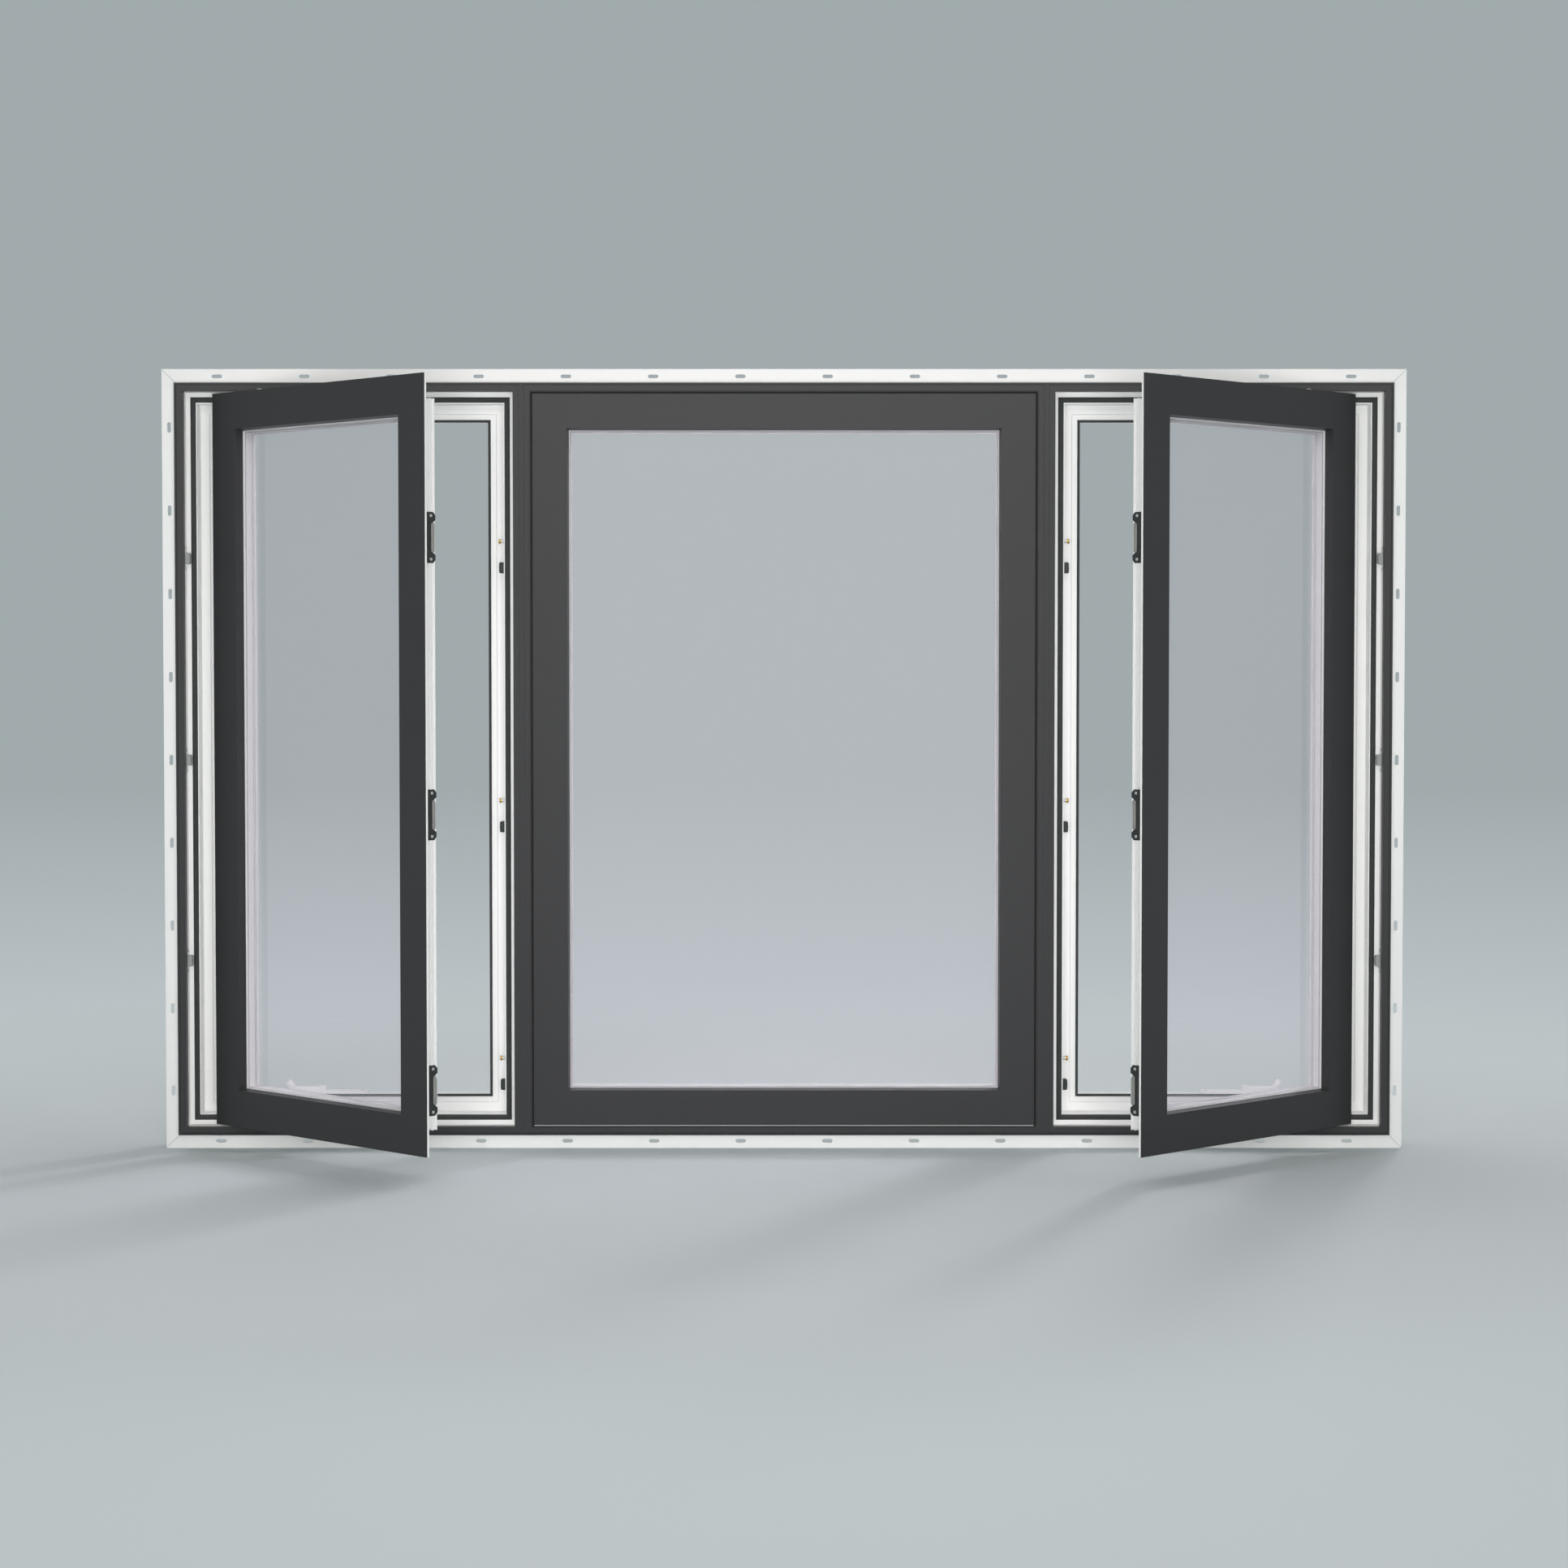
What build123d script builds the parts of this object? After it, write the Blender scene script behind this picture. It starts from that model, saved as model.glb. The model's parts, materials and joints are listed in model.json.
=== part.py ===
from build123d import *
import os
from math import cos, radians, sin

os.makedirs("parts", exist_ok=True)

# Triple casement window: a fixed centre light between two sashes that crank open.
# X runs along the window, Y runs from outdoors into the room, Z is up.
# The origin is on the back face of the bottom nailing fin, on its slot line.
# Sections are (inset, depth) points: inset in from a ring's outer edge, depth in
# from its outdoor face.  Left pieces are modelled, and right ones are mirrored.

# Overall sizes
frame_width = 2438.0
frame_height = 1510.0
side_unit_width = 694.0
frame_depth = 116.0
fin_setback = 31.0

# Nailing fin
fin_width = 29.5
fin_thickness = 2.0
slot_line = 14.75
slot_length = 21.0
slot_width = 7.3
slot_pitch_long = 175.0
slot_pitch_side = 167.0
slot_end_margin = 90.0

# Frame section
face_width = 17.0
cap_thickness = 4.0
cap_margin = 3.4
cap_bevel = 2.0
cap_wall = 2.0
cap_return = 22.0
stop_depth = 40.0
stop_width = 39.0
lip_depth = 80.0
lip_width = 73.5
lip_round = 3.0
ledge_inset = 56.0
ledge_drop = 2.2
fixed_stop_width = 50.0
mull_cover_play = 0.3
mull_cover_end = 4.0

# Seals on the casement frames
gasket_inset = 26.0
gasket_width = 11.0
gasket_height = 4.2
seal_width = 5.0
seal_height = 5.0

# Sash section
sash_gap = 5.0
sash_gap_head = 5.0
sash_setback = 1.0
fixed_gap = 5.0
skin = 2.0
sash_face = 74.0
fixed_face = 69.0
bead_width = 2.5
bead_drop = 19.0
bead_edge = 1.0
flange_depth = 6.5
step_inset = 16.0
step_depth = 20.0
body_inset = 44.5
body_depth = 67.0
leg_width = 5.5
slope_depth = 47.0
slope_inset = 60.0
sash_round = 4.0

# Insulating glass
glass_cover = 4.0
pane = 3.2
glass_unit = 20.0
spacer_width = 7.5

# Sash hinges: the arm and the sash bar are equal, so the shoe runs straight
sash_open = 43.15
arm_reach = 122.0
pivot_inset = 8.0
pivot_depth = 22.0
arm_width = 16.0
arm_thickness = 2.0
arm_gap = 0.8
track_width = 18.0
track_thickness = 1.2
track_end = 20.0
bar_width = 14.0
bar_thickness = 2.5
bar_end = 10.0
pin_radius = 2.5
pin_play = 0.1
post_radius = 4.0
shoe_radius = 7.0
shoe_height = 3.0
pin_gap = 0.4

# Crank operators
crank_inset = 248.5
operator_inset = 385.0
operator_depth = 27.0
operator_reach = 209.7
operator_ratio = 0.656
operator_closed = 1.8
operator_arm_width = 12.0
operator_arm_thickness = 3.0
operator_arm_height = 9.0
operator_pin_height = 6.0
rail_depth = 22.0
rail_slot = 12.6
rail_wall = 1.5
rail_height = 6.0
rail_gap = 3.0
rail_length = 44.0
cover_length = 190.0
cover_width = 28.0
cover_height = 5.0
cover_taper = 12.0
handle_length = 61.0
handle_width = 15.0
handle_tip = 9.0
handle_height = 8.0
hub_radius = 9.0
hub_height = 9.0
knob_radius = 8.5
knob_height = 15.0
knob_tilt = 33.0

# Multi-point lock
lock_first = 150.0
lock_pitch = 522.6
lock_count = 3
lock_depth = 52.0
lock_pin_radius = 2.6
lock_pin_head = 4.2
lock_pin_length = 10.5
lock_head_length = 3.5
guide_drop = 53.0
guide_width = 14.0
guide_height = 22.0
guide_thickness = 10.0
guide_chamfer = 2.0
keeper_drop = 10.6
keeper_height = 96.0
keeper_width = 20.0
keeper_thickness = 3.0
keeper_corner = 6.0
keeper_mouth = 66.0
keeper_throat = 52.0
keeper_cut = 10.0
ramp_height = 55.0
ramp_setback = 6.0
ramp_thickness = 2.4
ramp_reach = 8.0
lever_height = 620.0
lever_length = 120.0
lever_width = 16.0
lever_thickness = 7.0
lever_plate_length = 150.0
lever_plate_width = 26.0
lever_plate_thickness = 5.0

# Hinge-side snubbers
snubber_pitch = 405.0
snubber_height = 22.0
snubber_width = 15.0
snubber_thickness = 9.5
snubber_chamfer = 2.0

# Places worked out from the sizes above
outdoor_y = -fin_setback
indoor_y = outdoor_y + frame_depth
sash_y = outdoor_y + sash_setback
frame_left = -frame_width / 2
mull_left = frame_left + side_unit_width
sill_z = fin_width - slot_line
head_z = sill_z + frame_height
middle_z = (sill_z + head_z) / 2
stop_y = outdoor_y + stop_depth
sash_left = frame_left + face_width + sash_gap
sash_right = mull_left - face_width - sash_gap
sash_bottom = sill_z + face_width + sash_gap_head
sash_top = head_z - face_width - sash_gap_head
fixed_stop_depth = sash_setback + step_depth
glass_depth = bead_drop + skin
shoe_x = sash_left + pivot_inset
pivot_y = sash_y + pivot_depth
arm_pivot_x = shoe_x + 2 * arm_reach
shoe_travel = 2 * arm_reach * (1 - cos(radians(sash_open)))

# The open sash: turned about its shoe pivot, which has run along the track
open_pose = (
    Location((shoe_x + shoe_travel, pivot_y, 0))
    * Location((0, 0, 0), (0, 0, -sash_open))
    * Location((-shoe_x, -pivot_y, 0))
)


def welded_ring(left, right, bottom, top, y, section):
    """A ring of one section, swept round a rectangle and mitred at its corners."""
    middle = (left + right) / 2
    with BuildPart() as ring:
        with BuildLine(Plane.XZ.offset(-y)) as path:
            Polyline((middle, bottom), (right, bottom), (right, top), (left, top), (left, bottom), close=True)
        with BuildSketch(Plane((middle, y, bottom), x_dir=(0, 0, 1), z_dir=(-1, 0, 0))):
            with BuildLine():
                Polyline(*section, close=True)
            make_face()
        sweep(path=path.wire(), transition=Transition.RIGHT)
    return ring.part


def bar_shape(length, width, turn=0, mode=Mode.ADD):
    """A flat bar with rounded ends, each end drawn in six straight cuts."""
    half = (length - width) / 2
    ends = [(half, radians(angle)) for angle in range(-90, 91, 30)]
    ends += [(-half, radians(angle)) for angle in range(90, 271, 30)]
    points = [(middle + width / 2 * cos(angle), width / 2 * sin(angle)) for middle, angle in ends]
    return Polygon(*points, rotation=turn, mode=mode)


def pin_shape(radius):
    """The twelve-sided outline of a small pin."""
    return RegularPolygon(radius, 12)


def save(part, name):
    """Labels one finished piece and writes it."""
    part.label = name
    export_step(part, f"parts/{name}.step")


def save_pair(part, name):
    """Writes a left piece and its mirror image on the right."""
    save(part, f"left_{name}")
    save(mirror(part, about=Plane.YZ), f"right_{name}")


# Nailing fin: four mitred strips with slots, flush with the frame's outer walls
fin_half = frame_width / 2 + fin_width
fin_low = sill_z - fin_width
fin_high = head_z + fin_width


def fin_strip(outline, centre, span, pitch, turn):
    """A mitred strip with its row of slots, centred on the strip."""
    count = int((span - 2 * slot_end_margin) / pitch) + 1
    reach = [(step - (count - 1) / 2) * pitch for step in range(count)]
    places = [(along, 0) if turn == 0 else (0, along) for along in reach]
    fastened = [0, count - 1]
    if turn == 0:
        fastened += [count // 2 - 3, count // 2 + 2]
    with BuildPart() as strip:
        with BuildSketch(Plane.XZ):
            with BuildLine():
                Polyline(*outline, close=True)
            make_face()
            for step, (along, up) in enumerate(places):
                with Locations((centre[0] + along, centre[1] + up)):
                    if step in fastened:
                        SlotOverall(slot_length, slot_width, rotation=turn, mode=Mode.SUBTRACT)
                    else:
                        bar_shape(slot_length, slot_width, turn, Mode.SUBTRACT)
        extrude(amount=fin_thickness)
    return strip.part


def long_fin(outer_z, inner_z, slot_z):
    """The head or sill strip of the fin."""
    half = frame_width / 2
    outline = [(-fin_half, outer_z), (fin_half, outer_z), (half, inner_z), (-half, inner_z)]
    return fin_strip(outline, (0, slot_z), 2 * fin_half, slot_pitch_long, 0)


save(long_fin(fin_high, head_z, fin_high - slot_line), "nail_fin_head")
save(long_fin(fin_low, sill_z, fin_low + slot_line), "nail_fin_sill")
side_outline = [
    (-fin_half, fin_low),
    (-fin_half, fin_high),
    (frame_left, head_z),
    (frame_left, sill_z),
]
side_fin = fin_strip(side_outline, (slot_line - fin_half, middle_z), fin_high - fin_low, slot_pitch_side, 90)
save(side_fin, "nail_fin_left")
save(mirror(side_fin, about=Plane.YZ), "nail_fin_right")


# Frames: three welded rings with a stop and an inner lip, mulled side by side
seat_depth = lip_depth + ledge_drop


def frame_section(stop, width):
    """The white frame section behind its outdoor cap."""
    return [
        (0, cap_thickness),
        (face_width - cap_wall, cap_thickness),
        (face_width - cap_wall, cap_return),
        (face_width, cap_return),
        (face_width, stop),
        (width, stop),
        (width, lip_depth),
        (ledge_inset, lip_depth),
        (ledge_inset + ledge_drop, seat_depth),
        (lip_width, seat_depth),
        (lip_width, frame_depth - lip_round),
        (lip_width - lip_round, frame_depth),
        (0, frame_depth),
    ]


cap_section = [
    (0, cap_thickness),
    (0, cap_bevel),
    (cap_margin, cap_bevel),
    (cap_margin + cap_bevel, 0),
    (face_width, 0),
    (face_width, cap_return),
    (face_width - cap_wall, cap_return),
    (face_width - cap_wall, cap_thickness),
]
side_unit = (frame_left, mull_left, sill_z, head_z, outdoor_y)
centre_unit = (mull_left, -mull_left, sill_z, head_z, outdoor_y)
save_pair(welded_ring(*side_unit, frame_section(stop_depth, stop_width)), "frame")
save_pair(welded_ring(*side_unit, cap_section), "frame_cap")
save(welded_ring(*centre_unit, frame_section(fixed_stop_depth, fixed_stop_width)), "centre_frame")
save(welded_ring(*centre_unit, cap_section), "centre_frame_cap")

groove_low = cap_margin - mull_cover_play
groove_high = groove_low + cap_bevel
groove_y = outdoor_y + cap_bevel
with BuildPart() as mull_covers:
    with BuildSketch(Plane.XY.offset(sill_z + mull_cover_end)):
        with BuildLine():
            Polyline(
                (mull_left - groove_low, groove_y),
                (mull_left - groove_high, outdoor_y),
                (mull_left + groove_high, outdoor_y),
                (mull_left + groove_low, groove_y),
                close=True,
            )
        make_face()
    extrude(amount=frame_height - 2 * mull_cover_end)
    mirror(about=Plane.YZ)
save(mull_covers.part, "mull_covers")

# Seals: a bulb gasket on the stop and a seal on the inner lip
gasket_top = stop_depth - gasket_height
gasket_section = [
    (gasket_inset, stop_depth),
    (gasket_inset + gasket_width * 0.15, stop_depth - gasket_height * 0.7),
    (gasket_inset + gasket_width * 0.35, gasket_top),
    (gasket_inset + gasket_width * 0.7, gasket_top),
    (gasket_inset + gasket_width * 0.9, stop_depth - gasket_height * 0.7),
    (gasket_inset + gasket_width, stop_depth),
]
seal_section = [
    (lip_width - seal_width, seat_depth),
    (lip_width - seal_width, seat_depth - seal_height * 0.7),
    (lip_width - seal_width * 0.7, seat_depth - seal_height),
    (lip_width - seal_width * 0.2, seat_depth - seal_height),
    (lip_width, seat_depth - seal_height * 0.7),
    (lip_width, seat_depth),
]
save_pair(welded_ring(*side_unit, gasket_section), "gasket")
save_pair(welded_ring(*side_unit, seal_section), "inner_seal")

# Sashes: a dark outdoor skin with a steep bead, over a stepped white section
def skin_section(face):
    """The charcoal skin: a flat face and a steep bead down to the glass."""
    bead_end = face + bead_width
    return [
        (0, 0),
        (face, 0),
        (bead_end, bead_drop + bead_edge),
        (bead_end, glass_depth),
        (bead_end - glass_cover - bead_edge, glass_depth),
        (face - skin, skin),
        (0, skin),
    ]


def sash_section(face):
    """The white sash section, stepped outside and sloped towards the room."""
    bead_end = face + bead_width
    rebate = bead_end - glass_cover - bead_edge
    return [
        (0, skin),
        (face - skin, skin),
        (rebate, glass_depth),
        (rebate, glass_depth + glass_unit),
        (bead_end + leg_width, glass_depth + glass_unit),
        (bead_end + leg_width, slope_depth),
        (slope_inset, body_depth),
        (body_inset + sash_round, body_depth),
        (body_inset, body_depth - sash_round),
        (body_inset, step_depth),
        (step_inset, step_depth),
        (step_inset, flange_depth),
        (0, flange_depth),
    ]


def spacer_section(face):
    """The spacer bar between the panes."""
    edge = face + bead_width - glass_cover
    return [
        (edge, glass_depth + pane),
        (edge + spacer_width, glass_depth + pane),
        (edge + spacer_width, glass_depth + glass_unit - pane),
        (edge, glass_depth + glass_unit - pane),
    ]


def glass_panes(left, right, bottom, top, y, face):
    """Two panes of insulating glass, a spacer apart."""
    edge = face + bead_width - glass_cover
    with BuildPart() as panes:
        for depth in (glass_depth, glass_depth + glass_unit - pane):
            with BuildSketch(Plane.XZ.offset(-y - depth)):
                with Locations(((left + right) / 2, (bottom + top) / 2)):
                    Rectangle(right - left - 2 * edge, top - bottom - 2 * edge)
            extrude(amount=-pane)
    return panes.part


sash_edges = (sash_left, sash_right, sash_bottom, sash_top, sash_y)
save_pair(open_pose * welded_ring(*sash_edges, sash_section(sash_face)), "sash")
save_pair(open_pose * welded_ring(*sash_edges, skin_section(sash_face)), "sash_skin")
save_pair(open_pose * glass_panes(*sash_edges, sash_face), "sash_glass")
save_pair(open_pose * welded_ring(*sash_edges, spacer_section(sash_face)), "sash_spacer")

fixed_edge = mull_left + face_width + fixed_gap
fixed_bottom = sill_z + face_width + fixed_gap
fixed_top = head_z - face_width - fixed_gap
fixed_edges = (fixed_edge, -fixed_edge, fixed_bottom, fixed_top, sash_y)
save(welded_ring(*fixed_edges, sash_section(fixed_face)), "fixed_sash")
save(welded_ring(*fixed_edges, skin_section(fixed_face)), "fixed_sash_skin")
save(glass_panes(*fixed_edges, fixed_face), "fixed_glass")
save(welded_ring(*fixed_edges, spacer_section(fixed_face)), "fixed_spacer")

# Hinge hardware at the head and the sill, built at the sill and mirrored up
pocket_z = sill_z + face_width
track_top = pocket_z + track_thickness
arm_low = track_top + arm_gap
arm_top = arm_low + arm_thickness
bar_top = sash_bottom + step_inset
bar_low = bar_top - bar_thickness
mid_height = Plane.XY.offset(middle_z)

with BuildPart() as hinge_tracks:
    track_start = sash_left - sash_gap / 2
    track_stop = arm_pivot_x + track_end
    with BuildSketch(Plane.XY.offset(pocket_z)):
        with Locations(((track_start + track_stop) / 2, pivot_y)):
            Rectangle(track_stop - track_start, track_width)
    extrude(amount=track_thickness)
    with BuildSketch(Plane.XY.offset(track_top)):
        with Locations((arm_pivot_x, pivot_y)):
            pin_shape(post_radius)
    extrude(amount=arm_gap - pin_gap)
    with BuildSketch(Plane.XY.offset(track_top)):
        with Locations((arm_pivot_x, pivot_y)):
            Circle(pin_radius)
    extrude(amount=arm_gap + arm_thickness + pin_gap)
    mirror(about=mid_height)
    mirror(about=Plane.YZ)
save(hinge_tracks.part, "hinge_tracks")

arm_x = arm_pivot_x - arm_reach / 2 * cos(radians(sash_open))
arm_y = pivot_y - arm_reach / 2 * sin(radians(sash_open))
with BuildPart() as support_arms:
    with BuildSketch(Plane.XY.offset(arm_low)):
        with Locations(Location((arm_x, arm_y), sash_open)):
            bar_shape(arm_reach + arm_width, arm_width)
            with GridLocations(arm_reach, 0, 2, 1):
                Circle(pin_radius + pin_play, mode=Mode.SUBTRACT)
    extrude(amount=arm_thickness)
    mirror(about=mid_height)
save_pair(support_arms.part, "support_arms")

with BuildPart() as sash_bars:
    bar_stop = pivot_inset + arm_reach + bar_end
    with BuildSketch(Plane.XY.offset(bar_low)):
        with Locations((sash_left + bar_stop / 2, pivot_y)):
            bar_shape(bar_stop, bar_width)
    extrude(amount=bar_thickness)
    with BuildSketch(Plane.XY.offset(bar_low)):
        with Locations((shoe_x + arm_reach, pivot_y)):
            pin_shape(post_radius)
    extrude(amount=arm_top + pin_gap - bar_low)
    with BuildSketch(Plane.XY.offset(track_top + pin_gap)):
        with Locations((shoe_x, pivot_y)):
            pin_shape(shoe_radius)
    extrude(amount=shoe_height)
    with BuildSketch(Plane.XY.offset(bar_low)):
        with Locations((shoe_x + arm_reach, pivot_y)):
            Circle(pin_radius)
    extrude(amount=track_top + pin_gap - bar_low)
    with BuildSketch(Plane.XY.offset(bar_low)):
        with Locations((shoe_x, pivot_y)):
            pin_shape(post_radius)
    extrude(amount=track_top + pin_gap - bar_low)
    mirror(about=mid_height)
save_pair(open_pose * sash_bars.part, "sash_bars")

# Crank operators: an arm under each sash, whose pin runs in a rail on the sash
operator_x = frame_left + operator_inset
operator_y = sash_y + operator_depth
operator_low = pocket_z + operator_arm_height
operator_top = operator_low + operator_arm_thickness
operator_turn = operator_closed + operator_ratio * sash_open
operator_mid_x = operator_x - operator_reach / 2 * cos(radians(operator_turn))
operator_mid_y = operator_y - operator_reach / 2 * sin(radians(operator_turn))
operator_tip_x = operator_x - operator_reach * cos(radians(operator_turn))
operator_tip_y = operator_y - operator_reach * sin(radians(operator_turn))

with BuildPart() as operator_arm:
    with BuildSketch(Plane.XY.offset(operator_low)):
        with Locations(Location((operator_mid_x, operator_mid_y), operator_turn)):
            bar_shape(operator_reach + operator_arm_width, operator_arm_width)
        with Locations((operator_x, operator_y)):
            Circle(pin_radius + pin_play, mode=Mode.SUBTRACT)
    extrude(amount=operator_arm_thickness)
    with BuildSketch(Plane.XY.offset(operator_top)):
        with Locations((operator_tip_x, operator_tip_y)):
            Circle(pin_radius)
    extrude(amount=operator_pin_height)
save_pair(operator_arm.part, "operator_arm")

rail_x = sash_left + pivot_inset + arm_reach + bar_end + rail_gap + rail_length / 2
with BuildPart() as operator_rail:
    with BuildSketch(Plane.XY.offset(bar_top)):
        with Locations((rail_x, sash_y + rail_depth)):
            Rectangle(rail_length, rail_slot + 2 * rail_wall)
    extrude(amount=-rail_wall)
    with BuildSketch(Plane.XY.offset(bar_top - rail_wall)):
        with Locations((rail_x, sash_y + rail_depth)):
            with GridLocations(0, rail_slot + rail_wall, 1, 2):
                Rectangle(rail_length, rail_wall)
    extrude(amount=rail_wall - rail_height)
save_pair(open_pose * operator_rail.part, "operator_rail")

lip_z = sill_z + lip_width
crank_x = frame_left + crank_inset
cover_y = indoor_y - lip_round - cover_width / 2
with BuildPart() as operator:
    with BuildSketch(Plane.XY.offset(lip_z)):
        with Locations((crank_x + handle_length / 2, cover_y)):
            bar_shape(cover_length, cover_width)
    extrude(amount=cover_height, taper=cover_taper)
    with BuildSketch(Plane.XY.offset(pocket_z)):
        with Locations((operator_x, operator_y)):
            pin_shape(post_radius)
    extrude(amount=operator_arm_height - pin_gap)
    with BuildSketch(Plane.XY.offset(pocket_z)):
        with Locations((operator_x, operator_y)):
            Circle(pin_radius)
    extrude(amount=operator_arm_height + operator_arm_thickness + pin_gap)
save_pair(operator.part, "operator")

crank_z = lip_z + cover_height
hub_x = crank_x + handle_length / 2
tip_x = crank_x - handle_length / 2
lean = radians(knob_tilt)
knob_z = crank_z + knob_radius * sin(lean)
knob_seat = Plane((tip_x, cover_y, knob_z), x_dir=(0, 1, 0), z_dir=(-sin(lean), 0, cos(lean)))
with BuildPart() as crank:
    with BuildSketch(Plane.XY.offset(crank_z)):
        with BuildLine():
            Polyline(
                (hub_x, cover_y - handle_width / 2),
                (hub_x, cover_y + handle_width / 2),
                (tip_x, cover_y + handle_tip / 2),
                (tip_x, cover_y - handle_tip / 2),
                close=True,
            )
        make_face()
    extrude(amount=handle_height)
    chamfer(crank.faces().sort_by(Axis.Z)[-1].edges(), handle_height / 4)
    with BuildSketch(Plane.XY.offset(crank_z)):
        with Locations((hub_x, cover_y)):
            pin_shape(hub_radius)
    extrude(amount=hub_height)
    with BuildSketch(knob_seat):
        pin_shape(knob_radius)
    extrude(amount=knob_height)
save_pair(crank.part, "crank")

# Multi-point lock: pins and guides on the side of the stop, keepers on the sash
lock_heights = [sill_z + lock_first + lock_pitch * row for row in range(lock_count)]
stop_side = Plane(
    (mull_left - stop_width, outdoor_y + lock_depth, 0), x_dir=(0, -1, 0), z_dir=(-1, 0, 0)
)

with BuildPart() as lock_pins:
    with BuildSketch(stop_side):
        with Locations(*[(0, height) for height in lock_heights]):
            pin_shape(lock_pin_radius)
    extrude(amount=lock_pin_length)
    with BuildSketch(stop_side.offset(lock_pin_length - lock_head_length)):
        with Locations(*[(0, height) for height in lock_heights]):
            pin_shape(lock_pin_head)
    extrude(amount=lock_head_length)
    mirror(about=Plane.YZ)
save(lock_pins.part, "lock_pins")

with BuildPart() as lock_guides:
    with BuildSketch(stop_side):
        with Locations(*[(0, height - guide_drop) for height in lock_heights]):
            Rectangle(guide_width, guide_height)
    extrude(amount=guide_thickness)
    chamfer(lock_guides.faces().sort_by(Axis.X)[:lock_count].edges(), guide_chamfer)
    mirror(about=Plane.YZ)
save(lock_guides.part, "lock_guides")

keeper_face = Plane((sash_right - body_inset, sash_y + body_depth, 0), x_dir=(0, 1, 0), z_dir=(1, 0, 0))
keeper_heights = [height - keeper_drop for height in lock_heights]
keeper_in = -sash_round
keeper_out = keeper_in - keeper_width
keeper_half = [
    (keeper_in - keeper_cut, keeper_throat / 2),
    (keeper_in, keeper_mouth / 2),
    (keeper_in, keeper_height / 2 - keeper_corner),
    (keeper_in - keeper_corner, keeper_height / 2),
    (keeper_out, keeper_height / 2),
]
keeper_outline = keeper_half + [(x, -z) for x, z in reversed(keeper_half)]
with BuildPart() as keepers:
    with BuildSketch(keeper_face):
        for height in keeper_heights:
            with BuildLine():
                Polyline(*[(x, height + z) for x, z in keeper_outline], close=True)
            make_face()
    extrude(amount=keeper_thickness)
save_pair(open_pose * keepers.part, "keepers")

with BuildPart() as keeper_ramps:
    with BuildSketch(keeper_face):
        with Locations(*[(keeper_in - ramp_setback, height) for height in keeper_heights]):
            Rectangle(ramp_thickness, ramp_height)
    extrude(amount=ramp_reach)
    chamfer(keeper_ramps.edges().filter_by(Axis.Y).group_by(Axis.X)[-1], ramp_reach * 0.45)
save_pair(open_pose * keeper_ramps.part, "keeper_ramps")

lever_x = mull_left - lip_width / 2
indoor_face = Plane.XZ.offset(-indoor_y)
with BuildPart() as lock_levers:
    with BuildSketch(indoor_face):
        with Locations((lever_x, sill_z + lever_height)):
            bar_shape(lever_plate_length, lever_plate_width, 90)
    extrude(amount=-lever_plate_thickness)
    with BuildSketch(indoor_face.offset(-lever_plate_thickness)):
        with Locations((lever_x, sill_z + lever_height - lever_length / 4)):
            bar_shape(lever_length, lever_width, 90)
    extrude(amount=-lever_thickness)
    mirror(about=Plane.YZ)
save(lock_levers.part, "lock_levers")

# Snubbers: blocks on the hinge jambs, behind the closed sash's flange
snubber_y = stop_y - gasket_height - snubber_width / 2
with BuildPart() as snubbers:
    with BuildSketch(Plane((frame_left + face_width, snubber_y, middle_z), x_dir=(0, 1, 0), z_dir=(1, 0, 0))):
        with GridLocations(0, snubber_pitch, 1, 3):
            Rectangle(snubber_width, snubber_height)
    extrude(amount=snubber_thickness)
    chamfer(snubbers.faces().sort_by(Axis.X)[-3:].edges(), snubber_chamfer)
    mirror(about=Plane.YZ)
save(snubbers.part, "snubbers")
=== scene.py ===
import json
import math

import bmesh
import bpy
from mathutils import Matrix, Vector


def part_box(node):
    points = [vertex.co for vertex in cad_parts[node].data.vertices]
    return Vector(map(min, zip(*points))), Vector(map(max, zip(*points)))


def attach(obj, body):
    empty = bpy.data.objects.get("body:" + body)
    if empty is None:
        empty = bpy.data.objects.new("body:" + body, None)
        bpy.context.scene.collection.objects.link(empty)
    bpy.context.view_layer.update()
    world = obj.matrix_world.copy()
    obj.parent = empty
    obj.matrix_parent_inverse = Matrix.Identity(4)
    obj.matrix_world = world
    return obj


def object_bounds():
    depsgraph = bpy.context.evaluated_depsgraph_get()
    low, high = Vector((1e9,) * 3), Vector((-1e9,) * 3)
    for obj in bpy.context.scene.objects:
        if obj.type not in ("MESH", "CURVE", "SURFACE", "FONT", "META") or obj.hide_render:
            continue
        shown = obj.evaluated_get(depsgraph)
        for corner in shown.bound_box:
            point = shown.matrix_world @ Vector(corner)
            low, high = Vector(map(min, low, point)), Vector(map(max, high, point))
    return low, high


bl_info = {
    "name": "Triple casement window",
    "version": (1, 0, 0),
    "blender": (4, 5, 0),
    "location": "3D View > Sidebar > Window",
    "description": "Dresses a mulled casement window with its finishes, seals and fasteners",
    "category": "Object",
}

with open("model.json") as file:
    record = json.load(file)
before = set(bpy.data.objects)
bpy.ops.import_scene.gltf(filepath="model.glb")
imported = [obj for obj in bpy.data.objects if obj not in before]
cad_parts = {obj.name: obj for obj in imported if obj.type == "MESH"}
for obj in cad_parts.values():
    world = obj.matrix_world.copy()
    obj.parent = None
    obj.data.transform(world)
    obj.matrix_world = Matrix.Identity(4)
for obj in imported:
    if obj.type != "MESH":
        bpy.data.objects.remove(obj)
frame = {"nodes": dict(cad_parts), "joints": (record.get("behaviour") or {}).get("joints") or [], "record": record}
CAD_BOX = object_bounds()
NODES = frame["nodes"]
SLOT_OF = {row["node"]: row["material_slot"] for row in frame["record"]["subparts"]}
JOINTS = {joint["name"]: joint for joint in frame["joints"]}
MM = 0.001
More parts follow.
